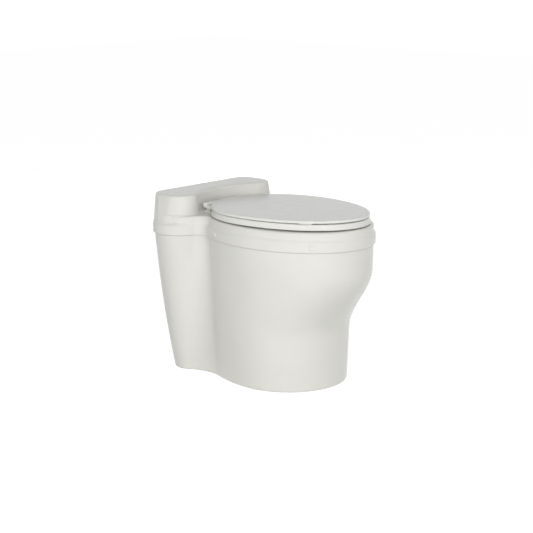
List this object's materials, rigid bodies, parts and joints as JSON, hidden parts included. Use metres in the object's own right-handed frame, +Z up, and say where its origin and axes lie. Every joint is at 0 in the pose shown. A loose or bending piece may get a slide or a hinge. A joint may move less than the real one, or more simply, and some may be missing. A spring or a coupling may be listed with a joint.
{
  "type": "dry toilet",
  "caption": "Floor-standing dry toilet: hollow pedestal, stepped top cover with a raised rear housing, hinged seat and lid, and a straight drop tube to a pipe socket.",
  "frame": {"origin": "on the floor, under the middle of the whole object", "axes": "+Z up, -Y towards the front of the seat, +X towards the left hand of someone who sits on it"},
  "size_m": [0.424, 0.5996, 0.491],
  "materials": {
    "shell_plastic": "glossy moulded bone white",
    "seat_plastic": "glossy moulded bone white",
    "liner_plastic": "satin dark grey",
    "bumper_rubber": "matte pale grey",
    "seal_rubber": "matte black",
    "nut_plastic": "satin bone white",
    "fastener_steel": "plain stainless"
  },
  "bodies": {
    "root": {"pedestal_shell": "shell_plastic", "top_cover": "shell_plastic", "cover_screw_caps": "shell_plastic", "hinge_post_right": "seat_plastic", "hinge_post_left": "seat_plastic", "hinge_pin_caps": "seat_plastic", "bowl_liner": "liner_plastic", "drop_tube": "liner_plastic", "tube_collar": "liner_plastic", "bowl_gasket": "seal_rubber", "tube_seal": "seal_rubber", "hinge_wing_nuts": "nut_plastic", "collar_screws": "fastener_steel", "cover_screws": "fastener_steel", "cover_clip_nuts": "fastener_steel", "hinge_pin_right": "fastener_steel", "hinge_pin_left": "fastener_steel", "hinge_bolts": "fastener_steel", "hinge_washers": "fastener_steel"},
    "seat": {"seat_ring": "seat_plastic", "seat_bumpers": "bumper_rubber"},
    "lid": {"lid": "seat_plastic", "lid_bumpers": "bumper_rubber"}
  },
  "joints": [
    {"name": "seat_swing", "type": "hinge", "parent": "root", "child": "seat", "pos_m": [0, 0.1692, 0.458], "axis": [-1, 0, 0], "range_deg": [0, 5]},
    {"name": "lid_swing", "type": "hinge", "parent": "seat", "child": "lid", "pos_m": [0, 0.1692, 0.458], "axis": [-1, 0, 0], "range_deg": [0, 95]}
  ]
}
